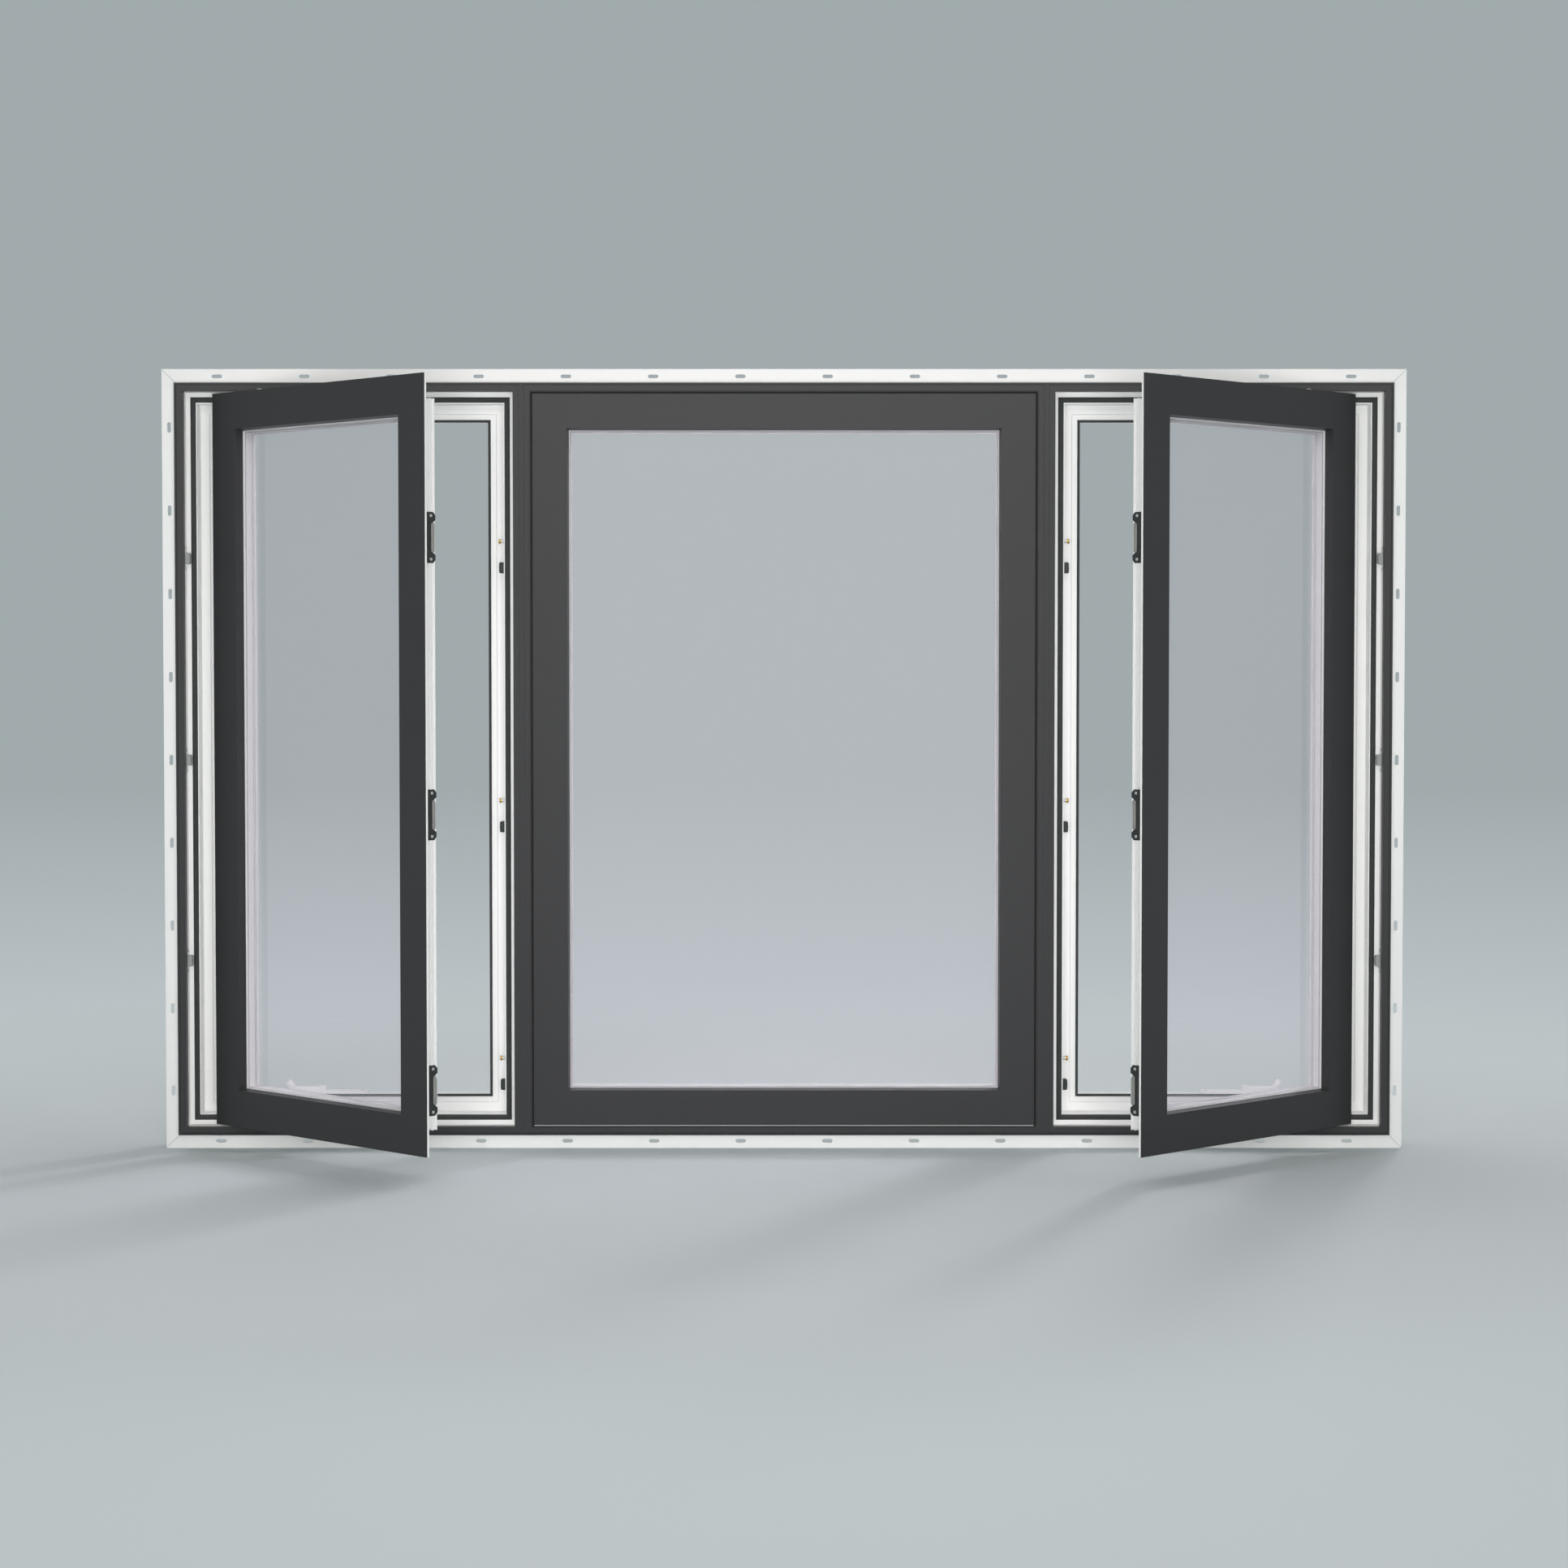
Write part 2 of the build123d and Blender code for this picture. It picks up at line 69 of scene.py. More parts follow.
MIRROR = Matrix.Diagonal((-1, 1, 1, 1))
PICTURE_WIDTH = 1932


def linear(code):
    """An sRGB hex colour as linear red, green and blue."""
    parts = [int(code[i:i + 2], 16) / 255 for i in (1, 3, 5)]
    return [p / 12.92 if p <= 0.04045 else ((p + 0.055) / 1.055) ** 2.4 for p in parts]


def colour_setting(name, description, code):
    """A colour that the user can change, with its sRGB hex default."""
    return bpy.props.FloatVectorProperty(
        name=name, description=description, subtype="COLOR", size=3, min=0, max=1, default=linear(code)
    )


def length_setting(name, description, size):
    """A length that the user can change, with its default in millimetres."""
    return bpy.props.FloatProperty(
        name=name, description=description, default=size * MM, min=0, precision=4, unit="LENGTH"
    )


def number_setting(name, description, value, unit="NONE"):
    """A number that the user can change."""
    return bpy.props.FloatProperty(name=name, description=description, default=value, unit=unit)


class WindowFinishes(bpy.types.PropertyGroup):
    """Colours of the window's materials."""

    vinyl: colour_setting("Vinyl", "White of the frames, sashes and fin", "#F1F1EF")
    charcoal: colour_setting("Charcoal", "Outdoor foil on the frames and sashes", "#29292A")
    rubber: colour_setting("Rubber", "Gaskets and seals", "#2F3131")
    glass: colour_setting("Glass", "Tint of the float glass", "#FDFCFE")
    spacer: colour_setting("Spacer", "Foam spacer between the panes", "#D2D1D2")
    steel: colour_setting("Steel", "Hinge and operator arms", "#DADAD7")
    zinc: colour_setting("Zinc", "Plated screws", "#CDCFD0")
    brass: colour_setting("Brass", "Lock pins", "#CFA95A")
    black_nylon: colour_setting("Black nylon", "Keepers and lock guides", "#212524")
    grey_nylon: colour_setting("Grey nylon", "Snubbers on the hinge jambs", "#9C9D9D")
    seam: colour_setting("Seam", "Sealant in the fin's mitres", "#B4B6B6")


class WindowStudio(bpy.types.PropertyGroup):
    """The camera, floor and lights round the window."""

    backdrop: colour_setting("Backdrop", "Backdrop and far floor", "#A1AAAC")
    # Painted light: the tone that the floor a few metres off glows with, standing in for how it looks when lit.
    lit_floor: colour_setting("Lit floor", "Tone of the floor a few metres off", "#BEC6C9")
    floor: colour_setting("Floor", "Floor close to the window", "#CDD4D6")
    distance: length_setting("Camera distance", "From the fin's back face to the camera", 6259.5)
    height: length_setting("Camera height", "From the sill's slot line to the camera", 936.4)
    pitch: bpy.props.FloatProperty(
        name="Camera pitch", description="How far the camera looks down", subtype="ANGLE",
        default=math.radians(1.966),
    )
    focal: number_setting("Focal length", f"In pixels of a picture {PICTURE_WIDTH} pixels wide", 3830)
    glow: number_setting("Glow", "How bright the room in front of the window is", 0.9)
    ceiling: number_setting("Ceiling", "How bright the room is above the front", 2.0)
    key: number_setting("Key", "Softbox above the front", 120, "POWER")
    fill: number_setting("Fill", "Gridded panel in front", 30.5, "POWER")
    top: number_setting("Top", "Panel over the floor", 500, "POWER")
    back: number_setting("Back", "Softbox behind and right", 90, "POWER")


# Materials

def add_node(tree, kind, inputs=None, **settings):
    """Adds a node with its settings, and its inputs as values or as the sockets that feed them."""
    made = tree.nodes.new(kind)
    for name, value in settings.items():
        setattr(made, name, value)
    for socket, value in (inputs or {}).items():
        if isinstance(value, bpy.types.NodeSocket):
            tree.links.new(value, made.inputs[socket])
        else:
            made.inputs[socket].default_value = value
    return made


def new_material(name):
    """An empty material and its node tree."""
    made = bpy.data.materials.new(name)
    made.use_nodes = True
    made.node_tree.nodes.clear()
    return made, made.node_tree


def rgba(colour):
    """A colour setting as the four numbers that a socket takes."""
    return (*colour, 1)


def per_metre(size):
    """The texture scale whose features are about this many millimetres wide."""
    return 1 / (size * MM)


def surface(name, colour, shade, mottle_mm, grain_mm, grain_depth_mm, roughness, swing, edge_mm, **sockets):
    """A procedural solid finish: drifting colour, grain as bump, gloss that varies and eased edges."""
    made, tree = new_material(name)
    place = add_node(tree, "ShaderNodeTexCoord").outputs["Object"]
    drift = add_node(tree, "ShaderNodeTexNoise", {
        "Vector": place, "Scale": per_metre(mottle_mm), "Detail": 4.0, "Roughness": 0.6})
    tint = add_node(tree, "ShaderNodeMix", {
        "Factor": drift.outputs["Fac"],
        "A": rgba([c * (1 - shade) for c in colour]),
        "B": rgba([min(1, c * (1 + shade)) for c in colour]),
    }, data_type="RGBA")
    grain = add_node(tree, "ShaderNodeTexNoise", {
        "Vector": place, "Scale": per_metre(grain_mm), "Detail": 2.0, "Roughness": 0.5})
    gloss = add_node(tree, "ShaderNodeMapRange", {
        "Value": grain.outputs["Fac"], "From Min": 0.3, "From Max": 0.7,
        "To Min": roughness - swing, "To Max": roughness + swing})
    eased = add_node(tree, "ShaderNodeBevel", {"Radius": edge_mm * MM}, samples=4)
    relief = add_node(tree, "ShaderNodeBump", {
        "Height": grain.outputs["Fac"], "Distance": grain_depth_mm * MM, "Strength": 1.0,
        "Normal": eased.outputs["Normal"]})
    shader = add_node(tree, "ShaderNodeBsdfPrincipled", {
        "Base Color": tint.outputs["Result"], "Roughness": gloss.outputs["Result"],
        "Normal": relief.outputs["Normal"], **sockets})
    add_node(tree, "ShaderNodeOutputMaterial", {"Surface": shader.outputs["BSDF"]})
    return made


def extruded_vinyl(finishes):
    """Unplasticised PVC, extruded: a clean white with a satin skin and a faint ripple from the die."""
    return surface("PVC_extruded_satin", finishes.vinyl, 0.012, 90, 2.6, 0.012, 0.36, 0.05, 0.8, IOR=1.53)


def charcoal_foil(finishes):
    """Acrylic foil laminated on PVC: a dark neutral grey, with an embossed grain that breaks up its sheen."""
    return surface("Acrylic_foil_embossed", finishes.charcoal, 0.06, 60, 1.1, 0.03, 0.42, 0.07, 0.8,
                   **{"Specular IOR Level": 0.45})


def extruded_rubber(finishes):
    """EPDM rubber, extruded: nearly black and matt, with a dusty bloom in soft patches."""
    return surface("EPDM_extruded", finishes.rubber, 0.25, 14, 0.9, 0.03, 0.68, 0.08, 0.6, IOR=1.5)


def foam_spacer(finishes):
    """Silicone foam, extruded: a matt off-white with fine open cells."""
    return surface("Silicone_foam_extruded", finishes.spacer, 0.04, 8, 0.7, 0.05, 0.8, 0.08, 0.4, IOR=1.43)


def pressed_steel(finishes):
    """Stainless steel, pressed from strip: grey and bright, with a fine rolled grain."""
    return surface("Stainless_steel_pressed", finishes.steel, 0.06, 12, 0.8, 0.01, 0.4, 0.08, 0.4,
                   Metallic=0.85)


def plated_zinc(finishes):
    """Steel screws, zinc plated: pale and slightly cloudy."""
    return surface("Steel_zinc_plated", finishes.zinc, 0.08, 3, 0.6, 0.01, 0.34, 0.08, 0.2, Metallic=1.0)


def turned_brass(finishes):
    """Brass, turned: a warm yellow with fine tool marks."""
    return surface("Brass_turned", finishes.brass, 0.06, 4, 0.5, 0.01, 0.26, 0.06, 0.3, Metallic=1.0)


def moulded_black(finishes):
    """Nylon, moulded black: a low sheen with a spark-eroded texture."""
    return surface("Nylon_moulded_black", finishes.black_nylon, 0.1, 20, 0.8, 0.03, 0.46, 0.08, 0.6, IOR=1.53)


def moulded_grey(finishes):
    """Nylon, moulded grey: a plain mid grey with a low sheen."""
    return surface("Nylon_moulded_grey", finishes.grey_nylon, 0.05, 20, 0.8, 0.03, 0.46, 0.08, 0.6, IOR=1.53)


def cured_sealant(finishes):
    """Silicone sealant, tooled and cured: a grey line that catches dust."""
    return surface("Silicone_sealant_cured", finishes.seam, 0.1, 8, 0.9, 0.04, 0.6, 0.1, 0.2, IOR=1.43)


def float_glass(finishes):
    """Soda-lime glass, floated: clear with a cool cast, and sharp reflections at a slant.
    Light for shadows goes straight through, as it does through a thin flat pane."""
    made, tree = new_material("Soda_lime_glass_floated")
    place = add_node(tree, "ShaderNodeTexCoord").outputs["Object"]
    ripple = add_node(tree, "ShaderNodeTexNoise", {"Vector": place, "Scale": per_metre(180), "Detail": 1.0})
    wave = add_node(tree, "ShaderNodeBump", {
        "Height": ripple.outputs["Fac"], "Distance": 0.02 * MM, "Strength": 1.0})
    pane = add_node(tree, "ShaderNodeBsdfPrincipled", {
        "Base Color": rgba(finishes.glass), "Roughness": 0.0, "IOR": 1.52,
        "Transmission Weight": 0.991, "Normal": wave.outputs["Normal"]})
    clear = add_node(tree, "ShaderNodeBsdfTransparent", {"Color": rgba(finishes.glass)})
    ray = add_node(tree, "ShaderNodeLightPath")
    shown = add_node(tree, "ShaderNodeMixShader", {
        0: ray.outputs["Is Shadow Ray"], 1: pane.outputs["BSDF"], 2: clear.outputs["BSDF"]})
    add_node(tree, "ShaderNodeOutputMaterial", {"Surface": shown.outputs["Shader"]})
    return made


MAKERS = {
    "white_vinyl": extruded_vinyl,
    "charcoal_vinyl": charcoal_foil,
    "black_rubber": extruded_rubber,
    "clear_glass": float_glass,
    "white_spacer": foam_spacer,
    "stainless_steel": pressed_steel,
    "brass": turned_brass,
    "black_plastic": moulded_black,
    "grey_plastic": moulded_grey,
    "zinc": plated_zinc,
    "sealant": cured_sealant,
}
made_materials = {}


def finish_of(kind):
    """The material of that kind, made once."""
    if kind not in made_materials:
        made_materials[kind] = MAKERS[kind](bpy.context.scene.window_finishes)
    return made_materials[kind]


def dress(*endings):
    """Gives the CAD nodes with these name endings the material of their slot in the record."""
    found = [name for name in NODES if name.endswith(endings)]
    if not found:
        raise RuntimeError(f"the frame has no node that ends in {endings}")
    for name in found:
        mesh = NODES[name].data
        mesh.materials.clear()
        mesh.materials.append(finish_of(SLOT_OF[name]))


# Modelling helpers

def facing(point, normal):
    """The place of a piece that stands on a point and looks along a normal."""
    turn = Vector(normal).to_track_quat("Z", "Y")
    return Matrix.Translation(point) @ turn.to_matrix().to_4x4()


def sash_pose():
    """How the left sash moves from shut to the photo's open place, read from its two joints."""
    arm, sash = JOINTS["left_hinge_swing"], JOINTS["left_sash_swing"]
    fixed, opened = Vector(arm["pos_m"]), Vector(sash["pos_m"])
    shut = fixed - Vector(((opened - fixed).xy.length, 0, 0))
    turn = Matrix.Rotation(math.radians(arm["range_deg"][0]), 4, "Z")
    return Matrix.Translation(opened) @ turn @ Matrix.Translation(-shut)


POSE = sash_pose()


def corners(points):
    """The lowest and highest corner of some points."""
    return [Vector([pick(point[axis] for point in points) for axis in range(3)]) for pick in (min, max)]


def solids_of(name, move=Matrix()):
    """The lowest and highest corner of each solid in a CAD node, from the lowest solid up."""
    shape = bmesh.new()
    shape.from_mesh(NODES[name].data)
    bmesh.ops.remove_doubles(shape, verts=shape.verts, dist=1e-5)
    left, found = set(shape.verts), []
    while left:
        edge = [left.pop()]
        solid = []
        while edge:
            vert = edge.pop()
            solid.append(move @ vert.co)
            near = {link.other_vert(vert) for link in vert.link_edges} & left
            left -= near
            edge += near
        found.append(corners(solid))
    shape.free()
    return sorted(found, key=lambda solid: (round(solid[0].z, 4), solid[0].x))


def shut_box(name):
    """The lowest and highest corner of a left sash node, with the sash shut."""
    back = POSE.inverted()
    return corners([back @ vert.co for vert in NODES[name].data.vertices])


def skin_loops(shape, loops, ends):
    """Joins rows of vertices that each go once round, and caps the first and last row."""
    for low, high in zip(loops, loops[1:]):
        for k in range(len(low)):
            shape.faces.new((low[k - 1], low[k], high[k], high[k - 1]))
    if ends:
        shape.faces.new(loops[0])
        shape.faces.new(loops[-1])


def lathe(shape, place, profile, steps=24, closed=False):
    """Turns (radius, height) points in millimetres round the place's own Z."""
    turns = [2 * math.pi * k / steps for k in range(steps)]
    loops = [
        [shape.verts.new(place @ Vector((r * math.cos(a), r * math.sin(a), z))) for a in turns]
        for r, z in [(radius * MM, height * MM) for radius, height in profile]
    ]
    skin_loops(shape, loops + loops[:1] if closed else loops, not closed)


def plate(shape, place, outline, thickness, bevel):
    """Raises an outline in millimetres along the place's own Z, with a bevelled top edge."""
    middle = sum((Vector(point) for point in outline), Vector((0, 0))) / len(outline)
    reach = max((Vector(point) - middle).length for point in outline)
    loops = []
    for height, shrink in ((0, 0), (thickness - bevel, 0), (thickness, bevel / reach)):
        flat = [Vector(point).lerp(middle, shrink) for point in outline]
        loops.append([shape.verts.new(place @ Vector((x * MM, y * MM, height * MM))) for x, y in flat])
    skin_loops(shape, loops, True)


def bar(length, width):
    """The outline of a round-ended bar along X."""
    half = (length - width) / 2
    turns = [math.radians(angle) for angle in range(-90, 91, 18)]
    right = [(half + width / 2 * math.cos(a), width / 2 * math.sin(a)) for a in turns]
    return right + [(-x, -y) for x, y in right]


def ring(shape, low, high, section):
    """A mitred ring round an upright rectangle; section points are (inset, depth) in millimetres."""
    loops = []
    for inset, depth in section:
        i, y = inset * MM, low.y + depth * MM
        left, right, bottom, top = low.x + i, high.x - i, low.z + i, high.z - i
        spots = ((left, bottom), (right, bottom), (right, top), (left, top))
        loops.append([shape.verts.new((x, y, z)) for x, z in spots])
    skin_loops(shape, loops + loops[:1], False)


SCREW_LINES = (-1, -0.82, -0.58, -0.5, -0.2, -0.13, 0.13, 0.2, 0.5, 0.58, 0.82, 1)


def screw(shape, place, radius, height):
    """A pan-head screw with a sunk cross: a square grid drawn out to a disc."""
    rows = []
    for v in SCREW_LINES:
        row = []
        for u in SCREW_LINES:
            x, y = u * math.sqrt(1 - v * v / 2), v * math.sqrt(1 - u * u / 2)
            z = height * math.sqrt(1 - 0.8 * (x * x + y * y))
            if min(abs(u), abs(v)) < 0.15 and max(abs(u), abs(v)) < 0.52:
                z -= height * 0.55
            row.append(shape.verts.new(place @ Vector((x * radius * MM, y * radius * MM, z * MM))))
        rows.append(row)
    for low, high in zip(rows, rows[1:]):
        for k in range(len(low) - 1):
            shape.faces.new((low[k], low[k + 1], high[k + 1], high[k]))
    rim = rows[0] + [row[-1] for row in rows[1:]] + rows[-1][-2::-1] + [row[0] for row in rows[-2:0:-1]]
    back = place.inverted()
    foot = []
    for vert in rim:
        spot = back @ vert.co
        foot.append(shape.verts.new(place @ Vector((spot.x, spot.y, 0))))
    skin_loops(shape, [foot, rim], False)
    shape.faces.new(foot)


def add_piece(name, shape, kind, body):
    """Makes a piece from a finished shape: its material and the body it rides."""
    bmesh.ops.recalc_face_normals(shape, faces=shape.faces)
    mesh = bpy.data.meshes.new(name)
    shape.to_mesh(mesh)
    shape.free()
    mesh.materials.append(finish_of(kind))
    made = bpy.data.objects.new(name, mesh)
    bpy.context.scene.collection.objects.link(made)
    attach(made, body)


def add_pair(name, draw, kind, body="frame", pose=Matrix()):
    """Draws a left piece, and mirrors it for the right."""
    for side, place in (("left", pose), ("right", MIRROR @ pose)):
        shape = bmesh.new()
        draw(shape)
        shape.transform(place)
        add_piece(f"{side}_{name}", shape, kind, body.format(side))


# Stage

def room_light(tree, toward, studio):
    """The room's light in a direction: the backdrop behind the window, brighter in front of it."""
    ahead = add_node(tree, "ShaderNodeMapRange", {
        "Value": toward, "From Min": 0.45, "From Max": -0.9}, interpolation_type="SMOOTHSTEP")
    return add_node(tree, "ShaderNodeMix", {
        "Factor": ahead.outputs["Result"], "A": rgba(studio.backdrop), "B": rgba([studio.glow] * 3),
    }, data_type="RGBA").outputs["Result"]


def plain_behind(tree, light, studio, steps):
    """The plain backdrop where it is looked at directly or through glass, and the room's light elsewhere.
    A ray that hits nothing counts one step more than one that ends on the floor."""
    ray = add_node(tree, "ShaderNodeLightPath").outputs
    bends = add_node(tree, "ShaderNodeMath", {
        0: ray["Ray Depth"], 1: ray["Transmission Depth"]}, operation="SUBTRACT")
    straight = add_node(tree, "ShaderNodeMath", {
        0: bends.outputs["Value"], 1: float(steps), 2: 0.5}, operation="COMPARE")
    looked = add_node(tree, "ShaderNodeMath", {
        0: ray["Is Camera Ray"], 1: ray["Is Transmission Ray"]}, operation="MAXIMUM")
    plain = add_node(tree, "ShaderNodeMath", {
        0: straight.outputs["Value"], 1: looked.outputs["Value"]}, operation="MULTIPLY")
    return add_node(tree, "ShaderNodeMix", {
        "Factor": plain.outputs["Value"], "A": light, "B": rgba(studio.backdrop)},
        data_type="RGBA").outputs["Result"]


def soft_light(name, power, size, at, aim, spread=180):
    """A rectangular softbox that points from one place to another, with a grid that narrows its beam."""
    lamp = bpy.data.lights.new(name, "AREA")
    lamp.shape = "RECTANGLE"
    lamp.size, lamp.size_y = size
    lamp.energy = power
    lamp.spread = math.radians(spread)
    made = bpy.data.objects.new(name, lamp)
    made.location = at
    made.rotation_euler = (Vector(aim) - Vector(at)).to_track_quat("-Z", "Y").to_euler()
    bpy.context.scene.collection.objects.link(made)
    return made


def floor_paint(studio):
    """Painted concrete, rolled: pale and matt, fading into the backdrop with distance. Further off, the floor is
    no longer paint but a glow: painted light in the lit floor's tone, blending into the room's light.
    """
    made, tree = new_material("Concrete_painted")
    place = add_node(tree, "ShaderNodeTexCoord").outputs["Object"]
    far = add_node(tree, "ShaderNodeVectorMath", {0: place}, operation="LENGTH")
    ahead = add_node(tree, "ShaderNodeVectorMath", {0: place}, operation="NORMALIZE")
    toward = add_node(tree, "ShaderNodeSeparateXYZ", {0: ahead.outputs["Vector"]})
    past = add_node(tree, "ShaderNodeMath", {0: far.outputs["Value"], 1: 6.2}, operation="ADD")
    slant = add_node(tree, "ShaderNodeMath", {0: 1.0, 1: past.outputs["Value"]}, operation="DIVIDE")
    fade = add_node(tree, "ShaderNodeMapRange", {
        "Value": slant.outputs["Value"], "From Min": 0.133, "From Max": 0.036})
    patches = add_node(tree, "ShaderNodeTexNoise", {"Vector": place, "Scale": per_metre(900), "Detail": 3.0})
    tone = add_node(tree, "ShaderNodeMix", {
        "Factor": patches.outputs["Fac"],
        "A": rgba([c * 0.97 for c in studio.floor]), "B": rgba([c * 1.03 for c in studio.floor]),
    }, data_type="RGBA")
    paint = add_node(tree, "ShaderNodeBsdfPrincipled", {
        "Base Color": tone.outputs["Result"], "Roughness": 0.75, "Specular IOR Level": 0.2})
    # Painted light: past the near floor, the floor glows with the lit floor's tone and then the room's light,
    # instead of being lit by the lamps.
    glow_blend = add_node(tree, "ShaderNodeMapRange", {
        "Value": fade.outputs["Result"], "From Min": 0.15, "From Max": 1.0})
    lit = add_node(tree, "ShaderNodeMix", {
        "Factor": glow_blend.outputs["Result"], "A": rgba(studio.lit_floor),
        "B": plain_behind(tree, room_light(tree, toward.outputs["Y"], studio), studio, 0)}, data_type="RGBA")
    painted_floor_glow = add_node(tree, "ShaderNodeEmission", {"Color": lit.outputs["Result"], "Strength": 1.0})
    cover = add_node(tree, "ShaderNodeMapRange", {
        "Value": fade.outputs["Result"], "From Min": 0.0, "From Max": 0.3})
    shown = add_node(tree, "ShaderNodeMixShader", {
        0: cover.outputs["Result"], 1: paint.outputs["BSDF"], 2: painted_floor_glow.outputs["Emission"]})
    add_node(tree, "ShaderNodeOutputMaterial", {"Surface": shown.outputs["Shader"]})
    return made


class WINDOW_OT_studio(bpy.types.Operator):
    """Sets up the floor, backdrop, softboxes and camera"""

    bl_idname = "window.studio"
    bl_label = "Studio"

    def execute(self, context):
        studio = context.scene.window_studio
        low = CAD_BOX[0].z
        mesh = bpy.data.meshes.new("studio_floor")
        shape = bmesh.new()
        bmesh.ops.create_circle(shape, cap_ends=True, radius=60, segments=96)
        shape.to_mesh(mesh)
        shape.free()
        mesh.materials.append(floor_paint(studio))
        floor = bpy.data.objects.new("studio_floor", mesh)
        floor.location.z = low
        context.scene.collection.objects.link(floor)

        world = bpy.data.worlds.new("studio_backdrop")
        world.use_nodes = True
        world.node_tree.nodes.clear()
        tree = world.node_tree
        place = add_node(tree, "ShaderNodeTexCoord").outputs["Generated"]
        toward = add_node(tree, "ShaderNodeSeparateXYZ", {0: place})
        above = add_node(tree, "ShaderNodeMapRange", {
            "Value": toward.outputs["Z"], "From Min": 0.06, "From Max": 0.45})
        front = add_node(tree, "ShaderNodeMapRange", {
            "Value": toward.outputs["Y"], "From Min": -0.4, "From Max": -0.8})
        bright = add_node(tree, "ShaderNodeMath", {
            0: above.outputs["Result"], 1: front.outputs["Result"]}, operation="MULTIPLY")
        room = add_node(tree, "ShaderNodeMix", {
            "Factor": bright.outputs["Value"], "A": room_light(tree, toward.outputs["Y"], studio),
            "B": rgba([studio.ceiling] * 3)}, data_type="RGBA")
        seen = plain_behind(tree, room.outputs["Result"], studio, 1)
        sky = add_node(tree, "ShaderNodeBackground", {"Color": seen, "Strength": 1.0})
        add_node(tree, "ShaderNodeOutputWorld", {"Surface": sky.outputs["Background"]})
        context.scene.world = world
        world.cycles_visibility.diffuse = False

        soft_light("key_softbox", studio.key, (5.0, 2.0), (0, -8.5, 4.2), (0, 0, 0.8))
        fill = soft_light("fill_panel", studio.fill, (2.6, 1.2), (0, -5, 0.7), (0, 0, 0.6), 80)
        top = soft_light("top_panel", studio.top, (12.0, 9.0), (0, 2.5, 7), (0, 2.5, 0))
        for panel in (fill, top):
            panel.visible_camera = panel.visible_glossy = panel.visible_transmission = False
        soft_light("back_softbox", studio.back, (0.8, 0.8), (3.0, 5.2, 5.3), (0, 0, 0.2))

        lens = bpy.data.cameras.new("photo_camera")
        lens.sensor_width = 36
        lens.lens = lens.sensor_width * studio.focal / PICTURE_WIDTH
        lens.clip_end = 200
        camera = bpy.data.objects.new("photo_camera", lens)
        camera.location = (0, -studio.distance, studio.height)
        camera.rotation_euler = (math.pi / 2 - studio.pitch, 0, 0)
        context.scene.collection.objects.link(camera)
        context.scene.camera = camera
        context.scene.view_settings.view_transform = "Standard"
        return {"FINISHED"}


class WINDOW_OT_frames(bpy.types.Operator):
    """Finishes the frames, their caps and the nailing fin"""

    bl_idname = "window.frames"
    bl_label = "Frames and fin"

    def execute(self, context):
        dress("_frame", "_frame_cap", "mull_covers")
        dress("nail_fin_head", "nail_fin_sill", "nail_fin_left", "nail_fin_right")
        fins = [name for name in NODES if name.startswith("nail_fin")]
        fin_low, fin_high = corners([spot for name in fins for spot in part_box(name)])
        low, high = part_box("left_frame")

        def seams(shape):
            for outer, inner in ((fin_low.z, low.z), (fin_high.z, high.z)):
                a, b = Vector((fin_low.x, fin_low.y, outer)), Vector((low.x, fin_low.y, inner))
                place = facing((a + b) / 2, (0, -1, 0)) @ Matrix.Rotation(
                    math.pi / 4 if outer < inner else -math.pi / 4, 4, "Z")
                plate(shape, place, bar((b - a).length / MM - 1.5, 0.9), 0.25, 0.1)

        add_pair("fin_mitre_seams", seams, "sealant")
        mull_low, mull_high = solids_of("mull_covers")[0]

        def mull_lines(shape):
            for x in (mull_low.x, mull_high.x):
                spot = (x, mull_low.y + 0.2 * MM, (mull_low.z + mull_high.z) / 2)
                place = facing(spot, (0, -1, 0)) @ Matrix.Rotation(math.pi / 2, 4, "Z")
                plate(shape, place, bar((mull_high.z - mull_low.z) / MM, 0.9), 0.35, 0.15)

        add_pair("mull_joint_lines", mull_lines, "black_rubber")
        return {"FINISHED"}


class WINDOW_OT_seals(bpy.types.Operator):
    """Finishes the gaskets and seals, with the fixed sash's bead and the glazing wedges"""

    bl_idname = "window.seals"
    bl_label = "Seals"

    def execute(self, context):
        dress("_gasket", "_inner_seal")

        low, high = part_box("fixed_sash_skin")
        shape = bmesh.new()
        ring(shape, low, high, ((-4.9, -1), (-4.5, -2.2), (-3.6, -2.6), (-0.1, 1.6), (-0.1, 6), (-4.9, 6)))
        add_piece("fixed_sash_bead", shape, "charcoal_vinyl", "frame")
        # Painted highlight: a light grey strip under the fixed sash's bottom edge stands in for the highlight on a
        # ledge lit from above.
        shape = bmesh.new()
        spot = ((low.x + high.x) / 2, low.y - 0.4 * MM, low.z - 1.9 * MM)
        plate(shape, facing(spot, (0, -1, 0)), bar((high.x - low.x) / MM - 2, 2.6), 1.0, 0.6)
        add_piece("fixed_sash_highlight_strip", shape, "grey_plastic", "frame")

        def wedges(shape, low, high):
            cover = Vector((4 * MM, 0, 4 * MM))
            outer = ((0.05, -3.6), (0.9, -3.2), (2.0, -0.9), (2.1, 0), (0.05, 0))
            ring(shape, low + cover, high - cover, outer)
            depth = (high.y - low.y) / MM
            inner = [(inset + 5.5, depth - down) for inset, down in outer]
            ring(shape, low + cover, high - cover, inner)

        add_pair("sash_glazing_wedges", lambda shape: wedges(shape, *shut_box("left_sash_glass")),
                 "white_spacer", "{}_casement", POSE)
        return {"FINISHED"}


